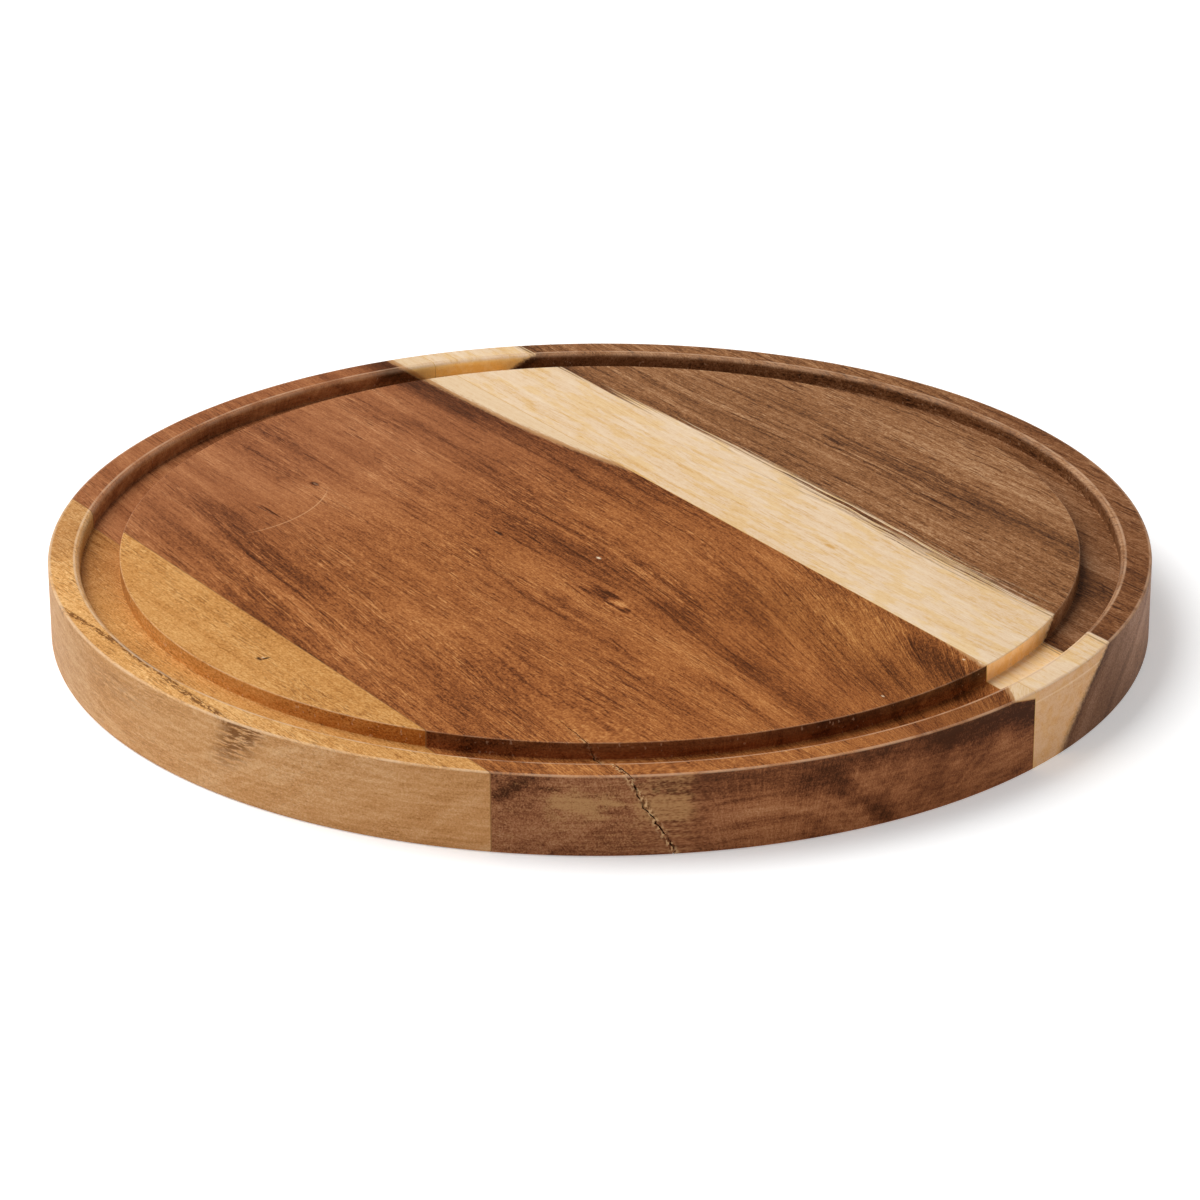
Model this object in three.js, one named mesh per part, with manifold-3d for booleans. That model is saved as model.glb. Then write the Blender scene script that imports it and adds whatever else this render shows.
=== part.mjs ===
// Round serving board, edge-glued from three wide staves, with a flat-bottomed ring groove for a cloche.
// Millimetres, +Z up. The origin is the centre of the underside, and the grain of each stave runs along X.
import * as THREE from "three";
import { mergeVertices } from "three/addons/utils/BufferGeometryUtils.js";
import Module from "manifold-3d";

// Driving dimensions of the turned blank
const BOARD_DIAMETER = 300;
const BOARD_THICKNESS = 22;
const RIM_WIDTH = 8.5; // ring of full height outside the groove
const GROOVE_WIDTH = 10.8;
const GROOVE_DEPTH = 4.7;

// Eased edges
const BASE_EDGE_RADIUS = 0.8;
const RIM_EDGE_RADIUS = 0.5;
const GROOVE_EDGE_RADIUS = 1.6; // outer edge of the groove
const PLATEAU_EDGE_RADIUS = 0.4; // inner edge of the groove

// Staves, counted from the front (-Y); the rear stave takes the rest of the diameter
const FRONT_STAVE_WIDTH = 44.5;
const MIDDLE_STAVE_WIDTH = 139.5;
const GLUE_FILM = 0.2;

// Fineness of the turned faces
const TURN_SEGMENTS = 160;
const ARC_DIVISIONS = 2; // a curve gets two segments for each division

// Worked-out places
const boardRadius = BOARD_DIAMETER / 2;
const grooveOuterRadius = boardRadius - RIM_WIDTH;
const plateauRadius = grooveOuterRadius - GROOVE_WIDTH;
const grooveFloor = BOARD_THICKNESS - GROOVE_DEPTH;

// Finishes, as seen on oiled acacia
const honeySapwood = new THREE.MeshStandardMaterial({ color: 0xca8f52, roughness: 0.5, metalness: 0 });
const redHeartwood = new THREE.MeshStandardMaterial({ color: 0x9a5e36, roughness: 0.5, metalness: 0 });
const stripedWood = new THREE.MeshStandardMaterial({ color: 0xa87f55, roughness: 0.5, metalness: 0 });
const curedGlue = new THREE.MeshStandardMaterial({ color: 0x4a2f1c, roughness: 0.6, metalness: 0 });

const wasm = await Module();
wasm.setup();

// A closed geometry as a solid that can be cut.
function toSolid(geometry) {
  const bare = geometry.clone();
  bare.deleteAttribute("normal");
  bare.deleteAttribute("uv");
  const merged = mergeVertices(bare);
  const corners = merged.index.array;
  const triangles = [];
  for (let i = 0; i < corners.length; i += 3) {
    const [a, b, c] = corners.slice(i, i + 3);
    const flat = a === b || b === c || c === a; // as a lathe's triangles are at its poles
    if (!flat) triangles.push(a, b, c);
  }
  return new wasm.Manifold(
    new wasm.Mesh({
      numProp: 3,
      vertProperties: merged.attributes.position.array,
      triVerts: new Uint32Array(triangles),
    }),
  );
}

// A named mesh of a cut solid.
function toMesh(name, solid, material) {
  const { vertProperties, triVerts } = solid.getMesh();
  const geometry = new THREE.BufferGeometry();
  geometry.setAttribute("position", new THREE.BufferAttribute(vertProperties, 3));
  geometry.setIndex(new THREE.BufferAttribute(triVerts, 1));
  geometry.computeVertexNormals();
  const mesh = new THREE.Mesh(geometry, material);
  mesh.name = name;
  return mesh;
}

// Half section of the blank, from the middle of the underside round the rim and the groove to the top.
function blankSection() {
  const section = new THREE.Path();
  const quarter = Math.PI / 2;
  const top = BOARD_THICKNESS;
  const roundEdge = (radius, centreRadius, centreHeight, start) =>
    section.absarc(centreRadius, centreHeight, radius, start, start + quarter);
  section.moveTo(0, 0);
  section.lineTo(boardRadius - BASE_EDGE_RADIUS, 0);
  roundEdge(BASE_EDGE_RADIUS, boardRadius - BASE_EDGE_RADIUS, BASE_EDGE_RADIUS, -quarter);
  roundEdge(RIM_EDGE_RADIUS, boardRadius - RIM_EDGE_RADIUS, top - RIM_EDGE_RADIUS, 0);
  roundEdge(GROOVE_EDGE_RADIUS, grooveOuterRadius + GROOVE_EDGE_RADIUS, top - GROOVE_EDGE_RADIUS, quarter);
  section.lineTo(grooveOuterRadius, grooveFloor);
  section.lineTo(plateauRadius, grooveFloor);
  roundEdge(PLATEAU_EDGE_RADIUS, plateauRadius - PLATEAU_EDGE_RADIUS, top - PLATEAU_EDGE_RADIUS, 0);
  section.lineTo(0, top);
  return section.getPoints(ARC_DIVISIONS);
}

// The whole glued-up blank after turning and grooving, before it is parted along its glue joints.
function turnedBlank() {
  const geometry = new THREE.LatheGeometry(blankSection(), TURN_SEGMENTS);
  geometry.rotateX(Math.PI / 2);
  return toSolid(geometry);
}

// A slab across the board between two joint planes, longer and taller than the blank.
function slabBetween(frontY, rearY) {
  const reach = BOARD_DIAMETER;
  const outline = new THREE.Shape();
  outline.moveTo(-reach, frontY);
  outline.lineTo(reach, frontY);
  outline.lineTo(reach, rearY);
  outline.lineTo(-reach, rearY);
  outline.closePath();
  const depth = 3 * BOARD_THICKNESS;
  const geometry = new THREE.ExtrudeGeometry(outline, { depth, bevelEnabled: false });
  geometry.translate(0, 0, -BOARD_THICKNESS);
  return toSolid(geometry);
}

// Joint planes, front to back. Each glue film fills the space between two staves face to face.
const frontFilmStart = -boardRadius + FRONT_STAVE_WIDTH;
const frontFilmEnd = frontFilmStart + GLUE_FILM;
const rearFilmStart = frontFilmEnd + MIDDLE_STAVE_WIDTH;
const rearFilmEnd = rearFilmStart + GLUE_FILM;

const layers = [
  { name: "front_stave", from: -BOARD_DIAMETER, to: frontFilmStart, material: honeySapwood },
  { name: "front_glue_line", from: frontFilmStart, to: frontFilmEnd, material: curedGlue },
  { name: "middle_stave", from: frontFilmEnd, to: rearFilmStart, material: redHeartwood },
  { name: "rear_glue_line", from: rearFilmStart, to: rearFilmEnd, material: curedGlue },
  { name: "rear_stave", from: rearFilmEnd, to: BOARD_DIAMETER, material: stripedWood },
];

const board = new THREE.Group();
const blank = turnedBlank();
for (const layer of layers) {
  const piece = blank.intersect(slabBetween(layer.from, layer.to));
  board.add(toMesh(layer.name, piece, layer.material));
}

export default board;
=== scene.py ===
"""Looks of a round serving board: three glued staves of figured wood, a ring groove and a natural crack."""
import math
import random

import bmesh
import bpy
from mathutils import Matrix, Quaternion, Vector


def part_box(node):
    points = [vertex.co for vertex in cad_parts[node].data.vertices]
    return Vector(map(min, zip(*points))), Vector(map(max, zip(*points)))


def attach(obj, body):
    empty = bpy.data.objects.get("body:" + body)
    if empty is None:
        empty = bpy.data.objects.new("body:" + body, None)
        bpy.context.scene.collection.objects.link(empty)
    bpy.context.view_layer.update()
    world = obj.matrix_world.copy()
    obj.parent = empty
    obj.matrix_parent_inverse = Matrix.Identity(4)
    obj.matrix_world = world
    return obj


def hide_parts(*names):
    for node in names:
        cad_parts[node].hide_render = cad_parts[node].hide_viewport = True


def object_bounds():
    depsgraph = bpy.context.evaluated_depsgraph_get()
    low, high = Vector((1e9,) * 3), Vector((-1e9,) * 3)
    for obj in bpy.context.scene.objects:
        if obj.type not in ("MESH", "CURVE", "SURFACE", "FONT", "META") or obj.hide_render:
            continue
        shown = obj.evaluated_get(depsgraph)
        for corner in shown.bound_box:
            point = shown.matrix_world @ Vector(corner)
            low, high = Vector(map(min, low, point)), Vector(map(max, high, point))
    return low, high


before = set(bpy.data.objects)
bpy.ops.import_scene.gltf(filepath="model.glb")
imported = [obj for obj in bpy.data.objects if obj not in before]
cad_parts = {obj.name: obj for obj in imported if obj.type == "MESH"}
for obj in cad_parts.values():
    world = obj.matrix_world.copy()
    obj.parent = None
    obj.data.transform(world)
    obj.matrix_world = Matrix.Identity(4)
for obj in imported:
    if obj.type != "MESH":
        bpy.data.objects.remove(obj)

bl_info = {
    "name": "Round Serving Board",
    "version": (1, 0, 0),
    "blender": (4, 5, 0),
    "location": "3D View > Sidebar > Board",
    "description": "Turns the staves of a round serving board, gives them their wood and sets the stage",
    "category": "Object",
}

MM = 0.001
CAD_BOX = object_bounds()
FRONT_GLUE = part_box("front_glue_line")
REAR_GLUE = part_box("rear_glue_line")
TOP = CAD_BOX[1].z / MM


def length(label, text, millimetres):
    """A size setting, given in millimetres."""
    return bpy.props.FloatProperty(name=label, description=text, default=millimetres * MM, unit="LENGTH")


def angle(label, text, degrees):
    """An angle setting, given in degrees."""
    radians = math.radians(degrees)
    return bpy.props.FloatProperty(name=label, description=text, default=radians, subtype="ANGLE")


def plain(label, text, value, unit="NONE"):
    """A setting that is a plain number or has a unit of its own."""
    return bpy.props.FloatProperty(name=label, description=text, default=value, unit=unit)


def colour(label, text, *linear):
    """A colour setting, given as scene-linear red, green and blue."""
    return bpy.props.FloatVectorProperty(name=label, description=text, default=linear, subtype="COLOR")


def pointer(kind, label):
    """A group of settings, with the group's own words for it."""
    return bpy.props.PointerProperty(type=kind, name=label, description=kind.__doc__.rstrip("."))


class BoardSizes(bpy.types.PropertyGroup):
    """Sizes of the turned blank."""

    radius: length("Radius", "Outer radius of the board", CAD_BOX[1].x / MM)
    thickness: length("Thickness", "Height of the board", TOP)
    rim_width: length("Rim Width", "Full-height ring outside the groove", 8.5)
    groove_width: length("Groove Width", "Ring groove from wall to wall", 10.8)
    groove_depth: length("Groove Depth", "Depth of the groove's flat floor", 4.7)
    base_edge: length("Base Edge", "Round on the lower edge", 0.8)
    rim_edge: length("Rim Edge", "Round on the upper outer edge", 0.5)
    groove_edge: length("Groove Edge", "Round on the groove's outer edge", 1.6)
    plateau_edge: length("Plateau Edge", "Round on the edge of the raised middle", 0.4)
    floor_corner: length("Floor Corner", "Round that the cutter leaves along the floor", 0.3)
    crack_width: length("Crack Width", "Widest gap of the crack, at the outer side", 0.42)
    segments: bpy.props.IntProperty(name="Segments", description="Faces round the board", default=480)


class BoardColours(bpy.types.PropertyGroup):
    """Colours of the woods."""

    honey_dark: colour("Honey Dark", "Dark grain of the front stave", 0.255, 0.085, 0.013)
    honey_mid: colour("Honey Mid", "Main colour of the front stave", 0.575, 0.258, 0.066)
    honey_pale: colour("Honey Pale", "Pale grain of the front stave", 0.790, 0.450, 0.165)
    # Paints the rubbed wood and a painted highlight along the front stave's rounded edges, and the pale
    # dust in its groove.
    honey_worn: colour("Honey Worn And Highlit", "Rubbed edges of the front stave", 0.800, 0.580, 0.380)
    mineral: colour("Mineral", "Mineral streak of the front stave", 0.160, 0.052, 0.010)
    heart_deep: colour("Heart Deep", "Deepest streaks of the middle stave", 0.065, 0.017, 0.003)
    heart_dark: colour("Heart Dark", "Dark streaks of the middle stave", 0.165, 0.046, 0.011)
    heart_mid: colour("Heart Mid", "Main brown of the middle stave", 0.332, 0.107, 0.028)
    heart_light: colour("Heart Light", "Light streaks of the middle stave", 0.482, 0.184, 0.054)
    heart_pale: colour("Heart Pale", "Palest grain of the middle stave", 0.650, 0.300, 0.105)
    straw: colour("Straw", "Pale patches on the middle stave's side", 0.560, 0.250, 0.060)
    seam: colour("Seam", "Line between the middle stave's heart and sapwood", 0.500, 0.235, 0.080)
    crumb: colour("Crumb", "Pale crumbs beside the crack", 0.600, 0.370, 0.180)
    scratch: colour("Scratch", "Scratch in the middle stave", 0.660, 0.340, 0.160)
    umber_deep: colour("Umber Deep", "Deepest streaks of the rear stave's heart", 0.055, 0.020, 0.008)
    umber_dark: colour("Umber Dark", "Dark streaks of the rear stave's heart", 0.128, 0.049, 0.018)
    umber_mid: colour("Umber Mid", "Main brown of the rear stave's heart", 0.262, 0.105, 0.036)
    umber_light: colour("Umber Light", "Light grain of the rear stave's heart", 0.395, 0.190, 0.083)
    umber_pale: colour("Umber Pale", "Palest grain of the rear stave's heart", 0.570, 0.325, 0.168)
    cream_dark: colour("Cream Dark", "Yellow streaks of the sapwood", 0.660, 0.380, 0.130)
    cream_mid: colour("Cream Mid", "Ground of the sapwood", 0.785, 0.565, 0.345)
    cream_pale: colour("Cream Pale", "Palest grain of the sapwood", 0.860, 0.670, 0.455)
    mark: colour("Mark", "Inside of the nicks in the front stave", 0.030, 0.012, 0.005)
    # Paints the rubbed wood and a painted highlight along the turned edges, and the pale dust in the
    # groove.
    worn_and_highlight: colour("Worn And Highlit Edge", "Rubbed wood along the turned edges", 0.640, 0.400, 0.250)
    glue: colour("Glue", "Cured glue in the joints", 0.200, 0.092, 0.032)


class BoardStage(bpy.types.PropertyGroup):
    """Camera and light."""

    azimuth: angle("Azimuth", "Camera's turn from the front", 55.73)
    elevation: angle("Elevation", "Camera's height angle", 22.99)
    distance: length("Distance", "Camera to the middle of the top", 1308.5)
    aim_height: length("Aim Height", "Height of the point that the camera looks at", 3.2)
    lens: plain("Lens", "Focal length on a 36 mm sensor", 143.7, "CAMERA")
    roll: angle("Roll", "Camera's turn about its own view", -0.15)
    key_power: plain("Key Power", "Power of the softbox to the left", 68.0, "POWER")
    fill_power: plain("Fill Power", "Power of the low card in front", 11.0, "POWER")
    world_level: plain("World Level", "Strength of the light from all round", 0.25)
    floor_lift: plain("Floor Lift", "White that the eye sees on top of the lit floor", 0.30)


class BoardSettings(bpy.types.PropertyGroup):
    """All settings of the board."""

    sizes: pointer(BoardSizes, "Sizes")
    colours: pointer(BoardColours, "Colours")
    stage: pointer(BoardStage, "Stage")


def settings():
    return bpy.context.scene.serving_board


def shades(name):
    """The colours of one wood, from its deepest to its palest."""
    colours = settings().colours
    labels = [name + "_" + depth for depth in ("deep", "dark", "mid", "light", "pale")]
    return [getattr(colours, label) for label in labels if hasattr(colours, label)]


class Wiring:
    """Adds nodes to a tree with short calls. Each call returns an output socket."""

    def __init__(self, tree):
        self.tree = tree

    def node(self, kind, **choices):
        made = self.tree.nodes.new(kind)
        for name, value in choices.items():
            setattr(made, name, value)
        return made

    def feed(self, socket, value):
        """Links a socket to a socket, or sets it to a plain number, vector or colour."""
        if isinstance(value, bpy.types.NodeSocket):
            self.tree.links.new(value, socket)
        elif value is not None:
            socket.default_value = value

    def call(self, kind, values, output=0, **choices):
        """Makes a node, feeds its inputs by name or number and returns one output."""
        made = self.node(kind, **choices)
        for key, value in values.items():
            self.feed(made.inputs[key], value)
        return made.outputs[output]

    def math(self, operation, a, b=None, c=None):
        return self.call("ShaderNodeMath", {0: a, 1: b, 2: c}, operation=operation)

    def add(self, a, b):
        return self.math("ADD", a, b)

    def sub(self, a, b):
        return self.math("SUBTRACT", a, b)

    def mul(self, a, b):
        return self.math("MULTIPLY", a, b)

    def most(self, a, b):
        return self.math("MAXIMUM", a, b)

    def least(self, a, b):
        return self.math("MINIMUM", a, b)

    def abs(self, a):
        return self.math("ABSOLUTE", a)

    def scale_add(self, a, factor, offset):
        return self.math("MULTIPLY_ADD", a, factor, offset)

    def vector(self, operation, a, b=None, output=0):
        return self.call("ShaderNodeVectorMath", {0: a, 1: b}, output=output, operation=operation)

    def stretch(self, vector, x, y, z):
        return self.vector("MULTIPLY", vector, (x, y, z))

    def size(self, vector):
        return self.vector("LENGTH", vector, output=1)

    def dot(self, vector, x, y, z):
        return self.vector("DOT_PRODUCT", vector, (x, y, z), output=1)

    def combine(self, x, y, z):
        return self.call("ShaderNodeCombineXYZ", {0: x, 1: y, 2: z})

    def separate(self, vector):
        made = self.node("ShaderNodeSeparateXYZ")
        self.feed(made.inputs[0], vector)
        return made.outputs

    def noise(self, vector, detail=2, roughness=0.5):
        values = {"Vector": vector, "Scale": 1, "Detail": detail, "Roughness": roughness}
        return self.call("ShaderNodeTexNoise", values, noise_dimensions="3D")

    def swing(self, vector, detail=2, roughness=0.5):
        """Noise that swings about 0, mostly within -1 and 1."""
        return self.scale_add(self.noise(vector, detail, roughness), 6, -3)

    def ease(self, value, low, high, start=0, end=1):
        """Smooth step from start to end while value goes from low to high."""
        values = {"Value": value, "From Min": low, "From Max": high, "To Min": start, "To Max": end}
        return self.call("ShaderNodeMapRange", values, interpolation_type="SMOOTHSTEP", clamp=True)

    def mix(self, factor, a, b, blend="MIX"):
        values = {0: factor, 6: opaque(a), 7: opaque(b)}
        return self.call("ShaderNodeMix", values, output=2, data_type="RGBA", blend_type=blend)

    def dye(self, factor, ground, tint):
        """Multiplies a colour by a tint, as far as the factor says."""
        return self.mix(factor, ground, tint, "MULTIPLY")

    def ramp(self, value, *colours):
        """Colours spread evenly from value 0 to value 1."""
        made = self.node("ShaderNodeValToRGB")
        elements = made.color_ramp.elements
        while len(elements) < len(colours):
            elements.new(1)
        for number, (element, tint) in enumerate(zip(elements, colours)):
            element.position = number / (len(colours) - 1)
            element.color = opaque(tint)
        self.feed(made.inputs[0], value)
        return made.outputs[0]


def opaque(tint):
    """A colour with alpha 1, or a socket as it is."""
    if isinstance(tint, bpy.types.NodeSocket):
        return tint
    return (*tint[:3], 1)


def new_tree(name, kind, inputs, outputs):
    """An empty node tree. Inputs and outputs are lists of names under their types of socket."""
    tree = bpy.data.node_groups.new(name, kind)
    for in_out, sockets in (("INPUT", inputs), ("OUTPUT", outputs)):
        for socket, labels in sockets.items():
            for label in labels:
                tree.interface.new_socket(label, in_out=in_out, socket_type="NodeSocket" + socket)
    return tree


def new_object(name, data):
    """A new object in the scene."""
    thing = bpy.data.objects.new(name, data)
    bpy.context.scene.collection.objects.link(thing)
    return thing


# Turned shape

SLICE_LENGTHS = (
    "Radius", "Thickness", "Rim Width", "Groove Width", "Groove Depth", "Base Edge", "Rim Edge",
    "Groove Edge", "Plateau Edge", "Floor Corner", "From", "To",
)


def slice_tree():
    """Geometry Nodes tree that turns the board's section and keeps the slice between two joint planes."""
    name = "Turned Board Slice"
    if name in bpy.data.node_groups:
        return bpy.data.node_groups[name]
    inputs = {"Float": SLICE_LENGTHS, "Int": ("Segments",), "Material": ("Material",)}
    tree = new_tree(name, "GeometryNodeTree", inputs, {"Geometry": ("Geometry",)})
    w = Wiring(tree)
    given = w.node("NodeGroupInput").outputs
    radius, top = given["Radius"], given["Thickness"]
    groove_outer = w.sub(radius, given["Rim Width"])
    plateau = w.sub(groove_outer, given["Groove Width"])
    floor = w.sub(top, given["Groove Depth"])
    corners = (
        (0, top, None),
        (plateau, top, given["Plateau Edge"]),
        (plateau, floor, given["Floor Corner"]),
        (groove_outer, floor, given["Floor Corner"]),
        (groove_outer, top, given["Groove Edge"]),
        (radius, top, given["Rim Edge"]),
        (radius, 0, given["Base Edge"]),
        (0, 0, None),
    )
    index = w.node("GeometryNodeInputIndex").outputs[0]
    spots = w.node("GeometryNodeIndexSwitch", data_type="VECTOR")
    rounds = w.node("GeometryNodeIndexSwitch", data_type="FLOAT")
    for switch in (spots, rounds):
        while len(switch.index_switch_items) < len(corners):
            switch.index_switch_items.new()
        w.feed(switch.inputs["Index"], index)
    for number, (out, up, edge) in enumerate(corners):
        w.feed(spots.inputs[number + 1], w.combine(w.sub(out, radius), w.mul(up, -1), 0))
        w.feed(rounds.inputs[number + 1], edge)
    line = w.call("GeometryNodeMeshLine", {"Count": len(corners)})
    section = w.call("GeometryNodeMeshToCurve", {0: line})
    section = w.call("GeometryNodeSetPosition", {"Geometry": section, "Position": spots.outputs[0]})
    fillet = {"Curve": section, "Count": 6, "Radius": rounds.outputs[0], "Limit Radius": True}
    section = w.call("GeometryNodeFilletCurve", fillet, mode="POLY")
    path = w.call("GeometryNodeCurvePrimitiveCircle", {"Resolution": given["Segments"], "Radius": radius})
    blank = w.call("GeometryNodeCurveToMesh", {"Curve": path, "Profile Curve": section})
    blank = w.call("GeometryNodeMergeByDistance", {"Geometry": blank, "Distance": 1e-6})
    width = w.sub(given["To"], given["From"])
    middle = w.mul(w.add(given["From"], given["To"]), 0.5)
    reach = w.mul(radius, 4)
    slab = w.call("GeometryNodeMeshCube", {"Size": w.combine(reach, width, reach)})
    slab = w.call("GeometryNodeTransform", {"Geometry": slab, "Translation": w.combine(0, middle, 0)})
    cut = w.node("GeometryNodeMeshBoolean", operation="INTERSECT", solver="EXACT")
    w.feed(cut.inputs["Mesh 2"], blank)
    w.feed(cut.inputs["Mesh 2"], slab)
    real = w.call("GeometryNodeRealizeInstances", {0: cut.outputs[0]})
    done = w.call("GeometryNodeSetMaterial", {"Geometry": real, "Material": given["Material"]})
    w.feed(w.node("NodeGroupOutput").inputs[0], done)
    return tree


def turn_slice(name, start, end, material):
    """A plain mesh object of the board between two planes across Y."""
    given = {"From": start, "To": end, "Material": material}
    tree = slice_tree()
    piece = new_object(name, bpy.data.meshes.new(name + "_start"))
    modifier = piece.modifiers.new("Turn", "NODES")
    modifier.node_group = tree
    for item in tree.interface.items_tree:
        if item.in_out == "INPUT":
            size = getattr(settings().sizes, item.name.lower().replace(" ", "_"), None)
            modifier[item.identifier] = given.get(item.name, size)
    settle(piece)
    return piece


def settle(piece):
    """Turns the result of a piece's modifiers into its plain mesh, closed and facing outwards."""
    graph = bpy.context.evaluated_depsgraph_get()
    mesh = bpy.data.meshes.new_from_object(piece.evaluated_get(graph))
    piece.modifiers.clear()
    old = piece.data
    piece.data = mesh
    bpy.data.meshes.remove(old)
    mesh.name = piece.name
    body = bmesh.new()
    body.from_mesh(mesh)
    bmesh.ops.remove_doubles(body, verts=body.verts, dist=1e-7)
    bmesh.ops.dissolve_degenerate(body, edges=body.edges, dist=1e-7)
    bmesh.ops.recalc_face_normals(body, faces=body.faces)
    body.to_mesh(mesh)
    body.free()
    mesh.shade_smooth()
    mesh.set_sharp_from_angle(angle=math.radians(35))


def carve(piece, cutter):
    """Cuts a closed mesh out of a piece."""
    tool = new_object(piece.name + "_tool", cutter)
    modifier = piece.modifiers.new("Carve", "BOOLEAN")
    modifier.operation = "DIFFERENCE"
    modifier.solver = "EXACT"
    modifier.object = tool
    settle(piece)
    bpy.data.objects.remove(tool)
    bpy.data.meshes.remove(cutter)


BEYOND = 1.0  # a place outside the board, in metres
CRACK_SEED = 23
CRACK_START = (91, -75.2)
CRACK_END_X = 156
CRACK_DRIFT = -0.1  # sideways, for each millimetre along the grain
CRACK_LEAN = 0.5  # sideways, for each millimetre of depth
CRACK_OVERSHOOT = 1  # above the top and below the underside
CRACK_GAPS = (0.25, 0.7, 1, 1.5)  # shares of the opening, from row to row


def tool_mesh(body, name):
    """The mesh of a finished cutter."""
    mesh = bpy.data.meshes.new(name)
    body.to_mesh(mesh)
    body.free()
    return mesh


def crack_cutter(width):
    """Thin jagged sheet that leans with depth and closes towards its inner end, in metres."""
    chance = random.Random(CRACK_SEED)
    columns, rows = 44, 34
    low, high = -CRACK_OVERSHOOT, TOP + CRACK_OVERSHOOT
    x_first, y_first = CRACK_START
    row_jag = [0.0]
    for _ in range(rows):
        row_jag.append(0.72 * row_jag[-1] + chance.uniform(-0.5, 0.5))
    column_jag = [chance.uniform(-0.22, 0.22) for _ in range(columns + 1)]
    row_gap = [chance.choice(CRACK_GAPS) for _ in range(rows + 1)]
    sheets = []
    for side in (-1, 1):
        sheet = []
        for i in range(columns + 1):
            share = i / columns
            x = x_first + share * (CRACK_END_X - x_first)
            opening = 0.5 * width / MM * (0.24 + 0.76 * min(1, 1.6 * share) ** 0.8)
            for j in range(rows + 1):
                z = high - (high - low) * j / rows
                lean = CRACK_LEAN * (TOP - z)
                y = y_first + CRACK_DRIFT * (x - x_first) + lean + column_jag[i] + row_jag[j]
                rough = opening * row_gap[j] * chance.uniform(0.15, 1.75)
                sheet.append(Vector((x, y + side * rough, z)) * MM)
        sheets.append(sheet)
    return closed_sheets(sheets, columns + 1, rows + 1)


def closed_sheets(sheets, columns, rows):
    """A closed mesh of two facing grids of points, given column by column."""
    body = bmesh.new()
    grids = [[body.verts.new(spot) for spot in sheet] for sheet in sheets]

    def at(grid, i, j):
        return grids[grid][i * rows + j]

    for i in range(columns - 1):
        for j in range(rows - 1):
            ring = ((i, j), (i + 1, j), (i + 1, j + 1), (i, j + 1))
            for grid in (0, 1):
                body.faces.new([at(grid, *spot) for spot in ring])
    rim = [(i, 0) for i in range(columns)] + [(columns - 1, j) for j in range(1, rows)]
    rim += [(i, rows - 1) for i in range(columns - 2, -1, -1)] + [(0, j) for j in range(rows - 2, 0, -1)]
    for here, there in zip(rim, rim[1:] + rim[:1]):
        body.faces.new((at(0, *here), at(0, *there), at(1, *there), at(1, *here)))
    bmesh.ops.recalc_face_normals(body, faces=body.faces)
    return tool_mesh(body, "crack_tool")


def nick_cutter(x, y, turn, half_length, half_width, depth):
    """A lens-shaped nick in the top face. Sizes are in millimetres, the turn in degrees."""
    body = bmesh.new()
    spot = Matrix.Translation(Vector((x, y, TOP)) * MM) @ Matrix.Rotation(math.radians(turn), 4, "Z")
    shape = Matrix.Diagonal((half_length * MM, half_width * MM, depth * MM, 1))
    bmesh.ops.create_icosphere(body, subdivisions=2, radius=1, matrix=spot @ shape)
    return tool_mesh(body, "nick_tool")


FRONT_NICKS = (
    (17.2, -115.3, 103, 1.7, 0.32, 0.9),
    (16.4, -117, 7, 1.25, 0.28, 0.8),
)
MIDDLE_NICKS = (
    (-77, -44, 0, 1.55, 0.55, 0.6),
    (-70, -65.7, 2, 2.6, 0.22, 0.35),
    (-65.4, -65.4, 3, 1.7, 0.2, 0.3),
    (-18, -21.5, 1, 1.8, 0.26, 0.35),
)


def hand_over(piece, node):
    """Lets a finished piece stand for its CAD node."""
    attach(piece, "root")
    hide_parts(node)


# Wood

# Where the parts of the turned surface lie, in millimetres
RIM_MIDDLE = 147  # between the groove's outer edge and the outer side
RIM_START = 143.2  # the rim's top is level from here on
# The rounded edges along both lines are worn and carry a painted highlight.
RUBBED_AND_HIGHLIT_LINE = 142.9  # along the groove's outer edge
RUBBED_AND_HIGHLIT_EDGE = 149.25  # along the outer edge
GROOVE_MIDDLE = 136
FLOOR_CLEAR = 18.5  # just above the groove's floor

PLAIN = (1, 1, 1)
PORE_TINT = (0.3, 0.2, 0.14)
EVEN_GRAIN = ("Bands", "Cloud", "Rays", "Layers", "Grit")
LONG_GRAIN = ("Fibre", "Fray", "Fine", "Pores", "Flecks", "Hairs")  # weaker on end grain


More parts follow.
